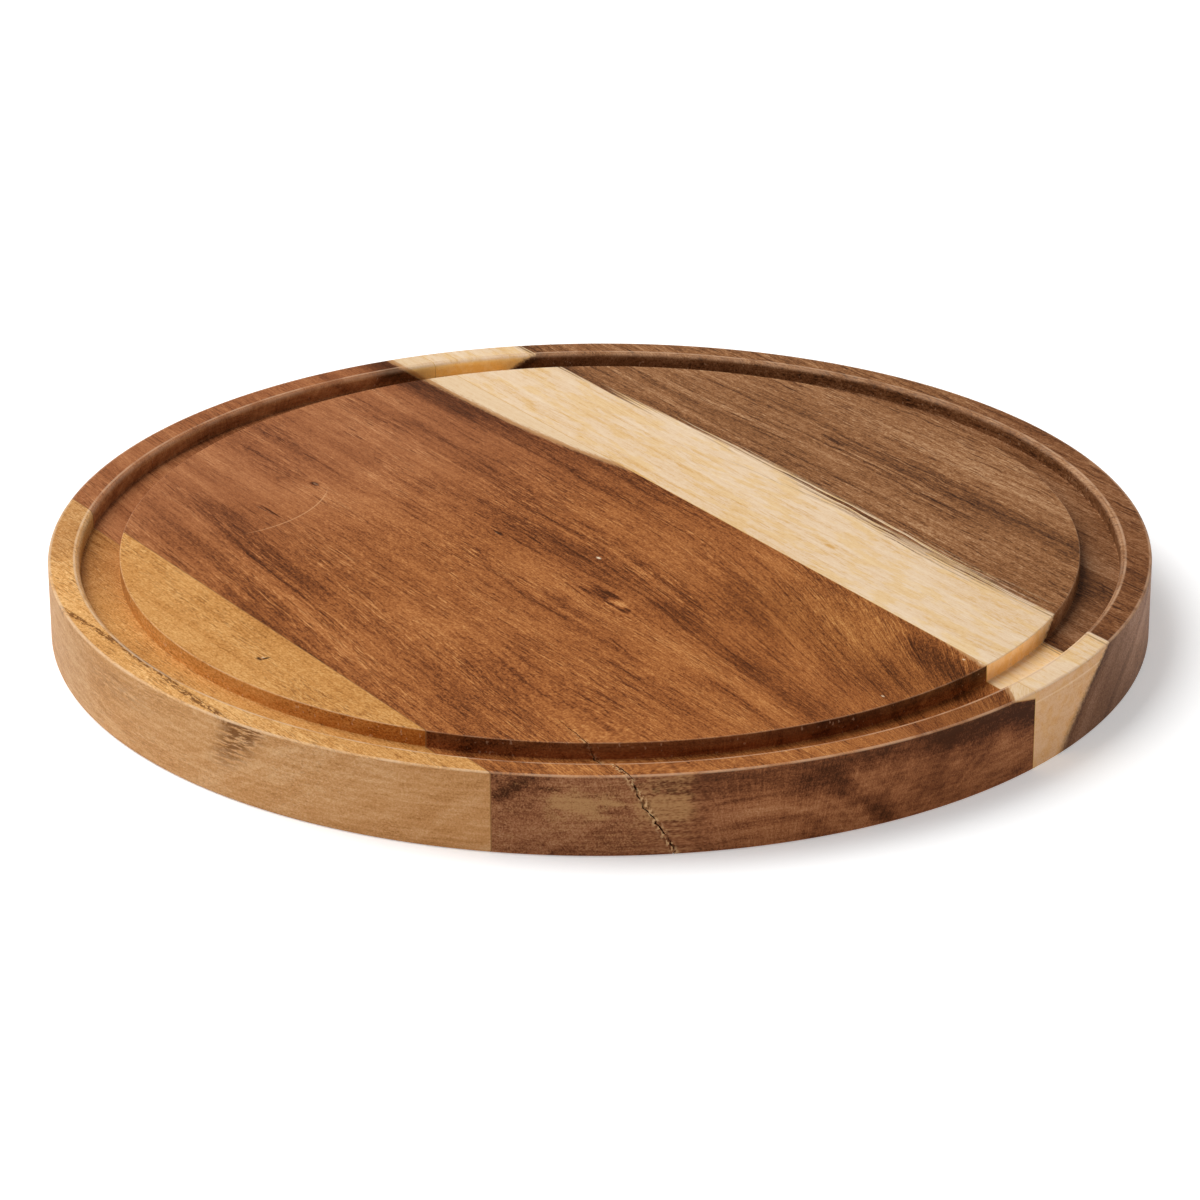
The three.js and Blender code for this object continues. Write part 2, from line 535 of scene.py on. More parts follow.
def grain_group():
    """Shader group with what the woods share: growth bands about a pith, fibres, pores, pale dashes that
    paint glints, and other grain.
    """
    name = "Wood Grain"
    if name in bpy.data.node_groups:
        return bpy.data.node_groups[name]
    inputs = {"Vector": ("Point", "Pith"), "Float": ("Sag", "Ring Scale", "Dash Scale")}
    outputs = {"Float": EVEN_GRAIN + LONG_GRAIN, "Vector": ("Bent",)}
    tree = new_tree(name, "ShaderNodeTree", inputs, outputs)
    w = Wiring(tree)
    given = w.node("NodeGroupInput").outputs
    point = given["Point"]
    slow = w.swing(w.stretch(point, 0.011, 0.03, 0.03), detail=1)
    quick = w.swing(w.stretch(point, 0.06, 0.16, 0.16), detail=1)
    drift = w.add(w.mul(slow, 0.75), w.mul(quick, 0.2))
    bent = w.vector("ADD", point, w.combine(0, drift, 0))
    away = w.vector("SUBTRACT", bent, given["Pith"])
    along, side, up = w.separate(away)
    dip = w.mul(w.mul(along, along), given["Sag"])
    ring = w.sub(w.size(w.combine(0, side, up)), dip)
    turn = w.math("ARCTAN2", side, up)
    ring_place = w.combine(w.mul(along, 0.0035), w.mul(ring, given["Ring Scale"]), 3.7)
    dashes = w.vector("MULTIPLY", bent, w.combine(given["Dash Scale"], 1, 1))
    zones = w.ease(w.noise(w.stretch(bent, 0.018, 0.1, 0.1)), 0.42, 0.6, 0.25, 1)
    pores = w.ease(w.noise(w.stretch(dashes, 0.13, 2.8, 2.8), detail=1), 0.59, 0.64)
    # Sparse pale dashes that paint glints.
    flecks = w.ease(w.noise(w.stretch(dashes, 0.13, 2.6, -2.6), detail=1), 0.59, 0.64)
    hairs = w.ease(w.noise(w.stretch(dashes, 0.055, 1.15, -1.15), detail=1), 0.6, 0.67)
    results = {
        "Bands": w.swing(ring_place, detail=5, roughness=0.65),
        "Fibre": w.swing(w.stretch(bent, 0.006, 0.12, 0.12), detail=3, roughness=0.6),
        "Fray": w.swing(w.stretch(bent, 0.014, 0.6, 0.6), detail=2, roughness=0.7),
        "Fine": w.swing(w.stretch(dashes, 0.45, 2.2, 2.2), detail=2, roughness=0.7),
        "Pores": w.mul(pores, zones),
        "Flecks": w.mul(flecks, zones),
        "Hairs": hairs,
        "Cloud": w.swing(w.stretch(point, 0.022, 0.04, 0.04), detail=2),
        "Rays": w.swing(w.combine(w.mul(turn, 75), w.mul(ring, 0.1), w.mul(along, 0.05)), detail=1),
        "Layers": w.swing(w.stretch(point, 0.09, 0.09, 1), detail=3, roughness=0.65),
        "Grit": w.swing(w.stretch(point, 1.7, 2.3, 2.3), detail=1),
        "Bent": bent,
    }
    finish = w.node("NodeGroupOutput").inputs
    for label, value in results.items():
        w.feed(finish[label], value)
    return tree


class Wood:
    """The wiring of one wood's material, with the places and grain that its colours build on."""

    def __init__(self, name, pith, sag=0, ring_scale=0.16, dash_scale=1, side_grain=1):
        self.material = bpy.data.materials.new(name)
        self.material.use_nodes = True
        self.shader = self.material.node_tree.nodes["Principled BSDF"]
        self.w = w = Wiring(self.material.node_tree)
        here = w.node("ShaderNodeTexCoord").outputs
        self.point = w.stretch(here["Object"], 1 / MM, 1 / MM, 1 / MM)
        self.along, self.side, self.up = w.separate(self.point)
        self.facing = w.separate(here["Normal"])
        self.reach = w.size(w.combine(self.along, self.side, 0))
        self.face = w.combine(self.side, self.up, 0)
        lengthwise = w.ease(w.abs(self.facing[0]), 0.45, 0.95, 1, 0.35)
        self.long_grain = w.mul(lengthwise, w.scale_add(self.outer_side(), side_grain - 1, 1))
        self.worn_and_highlight = settings().colours.worn_and_highlight
        self.growth = {"Pith": pith, "Sag": sag, "Ring Scale": ring_scale, "Dash Scale": dash_scale}

    def grow(self, sway=0):
        """Lays the grain through the wood, swayed across the stave."""
        w = self.w
        sway = w.combine(0, sway, 0)
        group = w.node("ShaderNodeGroup")
        group.node_tree = grain_group()
        w.feed(group.inputs["Point"], w.vector("ADD", self.point, sway))
        for label, value in self.growth.items():
            group.inputs[label].default_value = value
        self.grain = {label: group.outputs[label] for label in EVEN_GRAIN}
        for label in LONG_GRAIN:
            self.grain[label] = w.mul(group.outputs[label], self.long_grain)
        self.bent = w.vector("SUBTRACT", group.outputs["Bent"], sway)

    def tone(self, base, **amounts):
        """Light and dark of the grain about a base, from 0 at the darkest to 1 at the palest."""
        for label, amount in amounts.items():
            base = self.w.scale_add(self.grain[label.capitalize()], amount, base)
        return base

    def tone_on(self, mask, tone, **amounts):
        """The tone with more or less of some grain where a mask is 1."""
        for label, amount in amounts.items():
            tone = self.w.add(tone, self.w.mul(self.grain[label.capitalize()], self.w.mul(mask, amount)))
        return tone

    def streak(self, x0, y0, x1, y1, half, amount, lean=0, place=None):
        """A soft streak from one point of the top to another, which leans sideways with depth."""
        w = self.w
        place = place or self.bent
        run = math.hypot(x1 - x0, y1 - y0)
        dx, dy = (x1 - x0) / run, (y1 - y0) / run
        off = w.dot(place, -dy / half, dx / half, lean / half)
        off = w.add(off, (dy * x0 - dx * y0 - lean * TOP) / half)
        way = w.dot(place, 2 * dx / run, 2 * dy / run, 0)
        way = w.add(way, -2 * (dx * x0 + dy * y0) / run - 1)
        frayed = w.scale_add(self.grain["Fray"], 0.4, w.abs(off))
        across = w.ease(frayed, 1.6, 0, 0, amount)
        ends = w.ease(w.abs(way), 1.15, 0.55)
        return w.mul(across, ends)

    def streaks(self, total, table, place=None):
        for row in table:
            total = self.w.add(total, self.streak(*row, place=place))
        return total

    def patch(self, x, y, z, reach_x, reach_y, reach_z, amount, place=None):
        """A soft patch about a point."""
        w = self.w
        off = w.vector("SUBTRACT", place or self.bent, (x, y, z))
        off = w.size(w.stretch(off, 1 / reach_x, 1 / reach_y, 1 / reach_z))
        return w.ease(off, 1.45, 0.25, 0, amount)

    def patches(self, total, table):
        for row in table:
            total = self.w.add(total, self.patch(*row))
        return total

    def end_grain(self):
        """1 where the surface faces along the grain, 0 where it lies along it."""
        return self.w.ease(self.w.abs(self.facing[0]), 0.15, 0.95)

    def wall(self):
        """1 on upright faces, 0 on level ones."""
        return self.w.ease(self.w.abs(self.facing[2]), 0.75, 0.25)

    def outer_side(self):
        """1 on the board's outer side."""
        return self.w.mul(self.wall(), self.w.ease(self.reach, RIM_MIDDLE, RIM_MIDDLE + 1))

    def groove_wall(self):
        """1 on both walls of the groove."""
        return self.w.mul(self.wall(), self.w.ease(self.reach, RIM_MIDDLE, RIM_MIDDLE - 1))

    def level_face(self):
        """1 on faces that look up."""
        return self.w.ease(self.facing[2], 0.5, 0.9)

    def groove_floor(self):
        """1 on the floor of the groove."""
        return self.w.mul(self.level_face(), self.w.ease(self.up, FLOOR_CLEAR + 0.5, FLOOR_CLEAR - 0.5))

    def rim_top(self):
        """1 on the level top of the rim."""
        return self.w.mul(self.level_face(), self.w.ease(self.reach, RIM_START - 0.4, RIM_START + 0.4))

    def worn_and_highlit_edge(self):
        """1 along the rounded edges of the rim and the groove, more in some places than in others: wear,
        and a painted highlight that is strongest on the slope halfway between up and out.
        """
        w = self.w
        level = w.mul(self.facing[2], self.facing[2])
        slope = w.mul(level, w.scale_add(level, -4, 4))
        slope = w.mul(slope, w.ease(self.reach, RIM_MIDDLE - 2, RIM_MIDDLE, 0.5, 1))
        inner = w.ease(w.abs(w.sub(self.reach, RUBBED_AND_HIGHLIT_LINE)), 0.5, 0.15)
        outer = w.ease(self.reach, RUBBED_AND_HIGHLIT_EDGE - 0.25, RUBBED_AND_HIGHLIT_EDGE + 0.25)
        line = w.mul(w.most(inner, outer), self.level_face())
        worn_and_highlight = w.mul(w.most(slope, line), w.ease(self.up, 19, 20.5))
        return w.mul(worn_and_highlight, w.ease(w.noise(w.stretch(self.point, 0.12, 0.12, 0.12)), 0.36, 0.58, 0.45, 1))

    def dust(self):
        """Pale specks on the walls of the groove."""
        w = self.w
        specks = w.ease(w.noise(w.stretch(self.point, 0.9, 0.9, 0.7), detail=3), 0.64, 0.72)
        return w.mul(specks, self.groove_wall())

    def side_tint_and_sheen(self, tint, side_tone_and_sheen):
        """The colour with the tint of the board's outer side: partly the side's own paler or darker tone,
        partly a painted sheen where the tint is bluer.
        """
        return self.w.dye(self.outer_side(), tint, side_tone_and_sheen)

    def pored(self, tint, depth):
        """The colour with its dark pores."""
        return self.w.dye(self.w.mul(self.grain["Pores"], depth), tint, PORE_TINT)

    def finish(self, tint, near_wall_shading, far_wall_shading, floor):
        """Paints light and shade on the groove's walls and floor, adds dust, wear and a painted edge
        highlight, and sets sheen and relief.
        """
        w = self.w
        outward = w.ease(self.reach, GROOVE_MIDDLE - 2, GROOVE_MIDDLE + 2)
        # The wall and floor tints paint light and shade, partly with the wood's own darker end grain.
        tint = w.dye(self.groove_wall(), tint, w.mix(outward, near_wall_shading, far_wall_shading))
        tint = w.dye(self.groove_floor(), tint, floor)
        tint = w.mix(w.mul(self.dust(), 0.35), tint, self.worn_and_highlight)
        # Wear and a painted highlight along the rounded edges.
        tint = w.mix(w.mul(self.worn_and_highlit_edge(), 0.6), tint, self.worn_and_highlight)
        inputs = self.shader.inputs
        w.feed(inputs["Base Color"], tint)
        w.feed(inputs["Roughness"], w.scale_add(self.grain["Fine"], 0.04, 0.5))
        inputs["Specular IOR Level"].default_value = 0.05
        height = w.sub(w.mul(self.grain["Fine"], 0.25), self.grain["Pores"])
        relief = w.call("ShaderNodeBump", {"Strength": 0.35, "Distance": 0.00012, "Height": height})
        w.feed(inputs["Normal"], relief)
        return self.material


MINERAL_STREAK = (-48, -144, 52, -143.4, 1, 1)
MINERAL_STAIN = (50, -141.5, 22, 7, 9, 13, 1)
FAINT_STAIN = (-4, -150, 15.5, 20, 6, 4, 0.28)
FRONT_STREAKS = (
    (-60, -111, 60, -110, 2, -0.06),
    (-40, -121, 50, -120.5, 1.2, -0.07),
    (-20, -127, 40, -126, 3, 0.06),
    (-70, -138, 10, -137.5, 2, -0.06),
    (15, -113, 18, -106, 0.5, -0.1),
)
FRONT_MARKS = (
    (17.2, -115.3, 22, 0.5, 1.5, 2, 1),
    (16.4, -117, 22, 1.2, 0.5, 2, 1),
)
# A pale spot in the middle of the nicks: a painted highlight.
FRONT_NICK_HIGHLIGHT = (16.3, -115.7, 22, 0.35, 0.45, 0.6, 0.9)
FRONT_PATCHES = (
    (-88, -107.5, 17.3, 5, 0.7, 2, -0.35),
    (-84, -110.5, 17.3, 4, 0.7, 2, -0.35),
    (-79, -109, 17.3, 5, 1.3, 2, -0.15),
    (-15, -112, 22, 6, 9, 6, -0.06),
    (2, -112, 22, 5, 9, 6, -0.05),
)


def mineral_marks(wood):
    """The broken mineral streak along the front stave's edge, and the stain down its side."""
    w = wood.w
    specks = w.ease(w.noise(w.stretch(wood.bent, 0.45, 1.6, 0.8), detail=3, roughness=0.7), 0.44, 0.54)
    streak = w.mul(w.mul(wood.streak(*MINERAL_STREAK), 1.3), w.mul(specks, w.ease(wood.up, 20, 21.5)))
    dashes = w.ease(w.noise(w.stretch(wood.point, 0.22, 0.22, 1.5), detail=3, roughness=0.6), 0.41, 0.56)
    slid = w.vector("ADD", wood.point, w.combine(w.mul(w.sub(TOP, wood.up), 0.63), 0, 0))
    stain = w.add(wood.patch(*MINERAL_STAIN, place=slid), wood.patch(*FAINT_STAIN))
    stain = w.mul(w.mul(stain, 0.95), w.mul(dashes, wood.outer_side()))
    return w.least(w.add(streak, stain), 0.85)


def honey_wood():
    """Honey-coloured wood of the front stave, with mineral marks along its edge."""
    colours = settings().colours
    wood = Wood("Honey Wood", (8, -118, -70), sag=0.006, ring_scale=0.22, dash_scale=1.8, side_grain=0.45)
    wood.worn_and_highlight = colours.honey_worn
    w = wood.w
    wood.grow()
    tone = wood.tone(
        0.545, bands=0.09, fibre=0.05, fray=0.05, fine=0.19, flecks=0.28, hairs=-0.12, cloud=0.06, grit=0.13
    )
    tone = wood.tone_on(wood.outer_side(), tone, layers=0.12, grit=-0.05)
    tone = wood.streaks(tone, FRONT_STREAKS)
    tone = wood.patches(tone, FRONT_PATCHES)
    tint = w.ramp(tone, *shades("honey"))
    # Painted light and sheen on the rim's top: paler and bluer, most in the middle of the stave, and a
    # little darker but bluer at its far left.
    left, right = w.ease(wood.along, -55, -85), w.ease(wood.along, 20, 60)
    rim = w.mix(left, w.mix(right, (1.22, 1.33, 1.54), (1.1, 1.16, 1.28)), (0.92, 0.94, 1.08))
    tint = w.dye(wood.rim_top(), tint, rim)
    # The outer side's tint: a painted sheen, paler and much bluer, with a darker tone where the side faces
    # along the grain.
    lengthwise = w.mix(w.ease(wood.along, -5, -30), (1.02, 1.15, 1.68), (0.94, 1.1, 1.7))
    tint = wood.side_tint_and_sheen(tint, w.mix(wood.end_grain(), lengthwise, (0.85, 0.9, 1.28)))
    tint = w.mix(mineral_marks(wood), tint, colours.mineral)
    tint = w.mix(w.least(wood.patches(0, FRONT_MARKS), 0.95), tint, colours.mark)
    # Painted highlight in the middle of the nicks.
    tint = w.mix(wood.patch(*FRONT_NICK_HIGHLIGHT), tint, colours.cream_pale)
    # Painted light and shade in the groove: the inner wall lighter in the middle and darker towards both
    # ends, the outer wall lighter and bluer, the floor darker to the left.
    near_wall_shading = w.mix(w.ease(wood.along, -15, -60), (1.15, 1.08, 0.95), (0.8, 0.72, 0.68))
    near_wall_shading = w.mix(w.ease(wood.along, 5, 75), near_wall_shading, (0.78, 0.6, 0.4))
    floor = w.mix(w.ease(wood.along, -30, -75), PLAIN, (0.78, 0.72, 0.74))
    return wood.finish(wood.pored(tint, 0.5), near_wall_shading, (1.1, 1.3, 1.5), floor)


MIDDLE_STREAKS = (
    (-132, -3, -56, -3.2, 3, -0.14),
    (-75, -2, 14, -4, 2.4, -0.13),
    (-45, -12, 34, -14, 8, -0.14),
    (-132, -15, -50, -16, 7, 0.08),
    (-130, -27, -55, -28, 4, 0.1),
    (-132, -36, -58, -37, 2.8, -0.14),
    (-125, -46, -75, -46, 4, -0.05),
    (-125, -58, -50, -58, 6, 0.05),
    (-110, -76, 10, -84, 5, -0.09),
    (-62, -82, 5, -90, 1.6, -0.1),
    (-72, -81, 38, -93.6, 0.5, -0.12),
    (-12, -92, 95, -99, 2, 0.03),
    (0, -95, 90, -100.5, 3, -0.12),
    (-100, -98, 30, -101, 5, -0.08),
    (-85, -103.5, 95, -104, 2, -0.12),
    (-48, -80, 34, -88.4, 0.4, -0.15),
    (-22, -88.6, 44, -94, 0.6, -0.2),
    (-84, -78, -10, -84.6, 0.4, -0.1),
    (-30, -85.6, 20, -89.2, 0.3, 0.22),
    (-52, -82.4, -8, -86.6, 0.3, 0.18),
    (6, -6, 66, -11, 4, -0.14),
    (40, -9, 104, -17, 5.5, -0.16),
    (78, -15, 140, -21, 4.6, -0.19),
    (10, -1, 60, -6, 1.4, -0.12),
    (60, -24, 132, -26, 2.6, 0.13),
    (84, -28.5, 134, -31.4, 0.9, -0.2),
    (70, -35, 128, -37, 3.5, 0.12),
    (8, -36, 36, -38, 2.5, -0.1),
    (28, -37.5, 80, -38, 1.4, -0.12),
    (60, -43, 122, -45, 3.5, -0.1),
    (36, -60.5, 90, -61, 0.5, -0.16),
    (0, -81, 80, -88, 5, -0.1),
    (-62, -83.4, 26, -91, 0.45, -0.11),
    (40, -93, 95, -98, 1.4, -0.16),
    (70, -72, 112, -75, 5, 0.08),
    (18, 8, 52, 2, 2.5, 0.1),
    (58, 22, 104, 18, 5, 0.12),
    (40, 14, 96, -7, 3, -0.12),
    (76, 12, 118, -6, 3, -0.12),
    (20, 29, 104, 30, 2, 0.08),
    (98, 27, 142, 24, 5, -0.27),
    (47, -24.2, 55, -24.4, 0.35, -0.34),
    (20, -24.8, 34, -25.8, 0.3, -0.3),
    (57, -35.3, 69, -36.9, 0.35, -0.3),
    (30, -33, 43, -33.4, 1.6, -0.12),
)
MIDDLE_PATCHES = (
    (116, 8, 22, 12, 16, 8, -0.12),
    (-122, 19, 22, 30, 5, 8, -0.16),
    (31, -22, 22, 7, 2.8, 4, -0.26),
    (34, -20.8, 22, 8, 2.4, 4, -0.12),
    (47, -20.2, 22, 5, 2, 4, -0.12),
    (42, -26, 22, 7, 1.8, 4, -0.1),
    (27.5, -31.5, 22, 6, 3.2, 4, -0.16),
    (35, -19.8, 22, 4, 1, 4, -0.34),
    (40, -21.2, 22, 3.2, 1.1, 4, 0.22),
    (37.6, -22.3, 22, 2.2, 0.6, 4, 0.18),
    (39, -23.1, 22, 2.4, 0.45, 4, -0.5),
    (44.2, -23, 22, 3, 0.55, 4, -0.5),
    (44.4, -21.8, 22, 1.8, 0.55, 4, -0.46),
    (36, -23.8, 22, 2.6, 0.4, 4, -0.34),
    (31.5, -20.4, 22, 2.2, 0.4, 4, -0.34),
    (-77, -44, 22, 2, 0.9, 2, -0.6),
    (-67, -65.6, 22, 5, 0.5, 2, -0.45),
    (-18, -21.5, 22, 2.4, 0.5, 2, -0.5),
    (21, 20.7, 22, 1.4, 0.7, 2, -0.3),
)
SIDE_STREAKS = (
    (-105, 14.5, -97, 23, 1.7, -0.24),
    (-98, 18.7, -92, 18.2, 0.7, -0.26),
    (-73.8, 17.8, -71.8, 17.6, 0.6, -0.4),
    (-70.8, 17.8, -68.2, 17.5, 0.6, -0.36),
    (-70, 19.5, -36, 19.5, 4, -0.24),
    (-63, 9, -46, 11.5, 2.4, 0.17),
    (-48, 11.5, -29, 8, 2.2, 0.17),
    (-62, 3, -36, 4, 1.6, 0.08),
    (-60, 6.2, -34, 7.2, 0.8, -0.08),
    (-58, 13.6, -36, 14.2, 0.8, -0.1),
    (-41, 17, -25, 16.5, 5, -0.36),
    (-32, 15.5, -10, -2, 2.8, -0.26),
    (-36, 20.5, 42, 20, 4, -0.34),
    (-4, 18, 42, 16.5, 4, -0.22),
    (-24, 8.5, 6, 8.5, 7, -0.12),
    (-22, 12, -6, 6.5, 1.2, 0.08),
    (24, 15.5, 42, 14.5, 4, -0.2),
    (4, 8, 36, 7, 5, 0.05),
    (3, 11.2, 8, 11.2, 0.7, 0.24),
    (-102, 7, -86, 5, 5, 0.05),
)
STRAW_STREAKS = (
    (-99, 10, -60, 9.5, 8, 0.18),
    (-97, 14.6, -80, 14, 3.4, 1),
    (-78, 19.2, -62, 19.2, 2.6, 0.6),
    (-78, 13.4, -60, 13, 3.6, 0.85),
)
PALE_FLECKS = (
    (11.8, -8.7, 22, 0.9, 0.55, 0.6, 1),
    (120, 31.5, 22, 0.5, 0.4, 0.6, 0.9),
    (126, 0, 22, 0.6, 0.4, 0.6, 0.8),
)
KNOT = (40.5, -22)
# The band beside the crack where crumbs and painted shade lie.
CRACK_DUST_AND_SHADE = (88, -74.9, 158, -81.9, 1, 1, CRACK_LEAN)
SCRATCH_MIDDLE = (-95.9, -73.9)
SCRATCH_RADIUS = 39.1


def scratch(wood):
    """A thin scratch along an arc across the left of the middle stave."""
    w = wood.w
    x, y = SCRATCH_MIDDLE
    away = w.size(w.stretch(w.vector("SUBTRACT", wood.point, (x, y, TOP)), 1, 1, 0))
    line = w.ease(w.abs(w.sub(away, SCRATCH_RADIUS)), 0.3, 0.08)
    stretch = w.mul(w.ease(wood.side, -81, -70), w.ease(wood.side, -42, -47))
    return w.mul(w.mul(line, stretch), w.mul(w.ease(wood.along, -78, -74), w.ease(wood.up, 21.5, 21.9)))


def crack_crumbs_and_shade(wood, tint):
    """The colour with pale crumbs beside the crack, and dark crumbs that also paint the crack's shade."""
    w = wood.w
    colours = settings().colours
    crumbs = w.noise(w.stretch(wood.point, 1.3, 1.3, 1), detail=2)
    beside = w.mul(wood.streak(*CRACK_DUST_AND_SHADE, place=wood.point), w.ease(wood.along, 92, 112))
    # Dark crumbs, which also paint shade along the crack.
    tint = w.mix(w.mul(beside, w.ease(crumbs, 0.48, 0.4, 0, 0.75)), tint, colours.heart_deep)
    return w.mix(w.mul(beside, w.ease(crumbs, 0.5, 0.58, 0, 0.9)), tint, colours.crumb)


def middle_sway(wood):
    """How far the middle stave's grain runs aside: round the knot, and downwards to the right of it."""
    w = wood.w
    x, y = KNOT
    off = w.vector("SUBTRACT", wood.point, (x, y, TOP))
    near = w.ease(w.size(w.stretch(off, 1 / 26, 1 / 13, 1 / 30)), 1, 0, 0, -0.55)
    round_knot = w.mul(w.separate(off)[1], near)
    ahead = w.most(wood.along, 0)
    fan = w.mul(w.mul(ahead, ahead), w.ease(wood.side, -45, 30, 0, 0.0026))
    lower = w.mul(wood.along, w.ease(wood.side, -58, -80, 0, 0.09))
    return w.add(round_knot, w.add(fan, lower))


def middle_sap(wood):
    """How deep a point of the middle stave lies in the sapwood along the rear joint, below 0 outside it."""
    w = wood.w
    left = w.scale_add(w.math("EXPONENT", w.scale_add(wood.along, 0.025, 0.875)), 11.5, 23.2)
    right = w.scale_add(w.math("EXPONENT", w.scale_add(wood.along, 0.0625, -6.75)), -0.8, 35)
    edge = w.math("SMOOTH_MIN", left, right, 5)
    slant = w.ease(wood.along, 60, 112, 1.3, 4)
    sap = w.add(w.sub(wood.side, edge), w.mul(w.sub(wood.up, TOP), slant))
    sap = w.add(sap, w.add(w.mul(wood.grain["Fray"], 0.3), w.mul(wood.grain["Fine"], 0.3)))
    return w.sub(sap, w.mul(wood.groove_wall(), w.ease(wood.along, 60, 100, 0, 4)))


def middle_tone(wood, sap):
    """Light and dark of the middle stave: its grain, its figure and the dark band beside the sapwood."""
    w = wood.w
    fine = w.ease(wood.along, -20, -90, 0.15, 0.09)
    grit = w.ease(wood.along, -20, -90, 0.125, 0.07)
    # Amount of the pale dashes that paint glints.
    flecks = w.mul(w.ease(wood.along, 20, 80, 0.34, 0.24), w.ease(wood.along, -20, -80, 1, 0.5))
    hairs = w.ease(wood.along, -20, -90, -0.17, -0.1)
    tone = wood.tone(
        0.53, bands=0.11, fibre=0.06, fray=0.06, fine=fine, flecks=flecks, hairs=hairs,
        cloud=0.09, grit=grit,
    )
    tone = wood.tone_on(wood.end_grain(), tone, rays=0.06, bands=0.05, layers=0.11, grit=-0.02)
    steep = w.ease(wood.side, -26, -8, 0, -0.15)
    tone = wood.tone_on(wood.outer_side(), tone, bands=steep)
    tone = wood.streaks(tone, MIDDLE_STREAKS)
    tone = wood.patches(tone, MIDDLE_PATCHES)
    marks = wood.streaks(w.ease(wood.side, -30, -16, -0.04, -0.09), SIDE_STREAKS, place=wood.face)
    tone = w.add(tone, w.mul(marks, wood.outer_side()))
    shade = w.add(w.ease(sap, -28, -8, 0, -0.11), w.ease(sap, -11, -1, 0, -0.29))
    return w.add(tone, w.mul(shade, w.ease(wood.along, 50, -15, 0.25, 1)))


def middle_heart(wood, tone):
    """Colour of the middle stave's heartwood, with a painted sheen to the left and straw-coloured patches
    on its side.
    """
    w = wood.w
    heart = w.ramp(tone, *shades("heart"))
    # Painted sheen: bluer towards the left.
    heart = w.dye(w.ease(wood.along, 0, -110), heart, (0.98, 1.04, 1.4))
    heart = w.dye(w.ease(wood.along, 0, 100), heart, (1, 0.98, 0.92))
    golden = w.mul(w.ease(wood.side, -8, 14), w.ease(wood.up, 20, 21.5))
    heart = w.dye(w.mul(w.ease(wood.along, 30, 80), golden), heart, (1, 1.05, 1.02))
    uneven = w.swing(w.stretch(wood.point, 0.16, 0.16, 0.28), detail=2)
    wavy = w.vector("ADD", wood.face, w.combine(w.mul(uneven, 2.2), w.mul(uneven, 0.9), 0))
    straw = wood.streaks(0, STRAW_STREAKS, place=wavy)
    rough = w.add(wood.grain["Layers"], wood.grain["Grit"])
    straw = w.ease(w.scale_add(rough, 0.3, straw), 0, 1.3, 0, 0.86)
    straw = w.mul(straw, w.ease(wood.side, -62.5, -67))
    heart = w.mix(w.mul(straw, wood.outer_side()), heart, settings().colours.straw)
    # The outer side's tint: a darker tone with a painted sheen, bluest towards the front.
    side_tone_and_sheen = w.mix(w.ease(wood.side, -75, -45), (0.76, 0.9, 1.5), (0.76, 0.84, 1.24))
    return wood.pored(wood.side_tint_and_sheen(heart, side_tone_and_sheen), 0.6)


def middle_inner_wall_shading(wood, clear):
    """Painted light and shade on the groove's inner wall in the middle stave, partly its darker end grain:
    darker near its top and at the rear joint, lighter near the floor.
    """
    w = wood.w
    tint = w.mix(w.ease(wood.side, -12, 18), (0.58, 0.54, 0.6), (1.1, 1.22, 1.4))
    tint = w.mix(clear, tint, (1.15, 1, 0.8))
    # Painted light low on the wall and painted shade near its top, which deepens towards the rear joint.
    low = w.ease(wood.side, -48, -14, 1.32, 1.1)
    high = w.ease(wood.side, -48, -14, 0.74, 0.46)
    depth = w.mul(w.ease(wood.up, 17.6, 21.4, low, high), w.ease(wood.side, 26, 29, 1, 0.42))
    return w.dye(1, tint, depth)


def brown_wood():
    """Red-brown wood of the middle stave, bent round a small knot, with sapwood along its rear joint."""
    colours = settings().colours
    wood = Wood("Brown Wood", (0, -48, -40), ring_scale=0.17)
    w = wood.w
    wood.grow(middle_sway(wood))
    sap = middle_sap(wood)
    heart = middle_heart(wood, middle_tone(wood, sap))
    cream = w.ramp(wood.tone(0.5, fibre=0.14, fray=0.1, fine=0.16), *shades("cream"))
    cream = wood.side_tint_and_sheen(cream, (0.85, 0.72, 0.58))
    soft = w.ease(wood.along, -60, 60, 1.7, 1.1)
    clear = w.ease(w.math("DIVIDE", sap, soft), -0.6, 1.4)
    tint = w.mix(clear, heart, cream)
    tint = w.mix(w.mul(clear, w.scale_add(clear, -3.2, 3.2)), tint, colours.seam)
    rim = w.mix(w.ease(wood.side, -16, -4), (1.06, 1.1, 1.1), (0.76, 0.73, 0.75))
    rim = w.mix(w.most(clear, w.ease(wood.along, 60, 0)), rim, PLAIN)
    tint = w.dye(wood.rim_top(), tint, rim)
    tint = crack_crumbs_and_shade(wood, tint)
    tint = w.mix(w.mul(scratch(wood), 0.65), tint, colours.scratch)
    tint = w.mix(wood.patches(0, PALE_FLECKS), tint, colours.cream_pale)
    # Painted light on the groove's outer wall: paler and bluer in the heartwood, paler and warmer in the
    # sapwood.
    far_wall_shading = w.mix(clear, (1.2, 1.35, 1.3), (1.2, 1.05, 0.6))
    return wood.finish(tint, middle_inner_wall_shading(wood, clear), far_wall_shading, PLAIN)


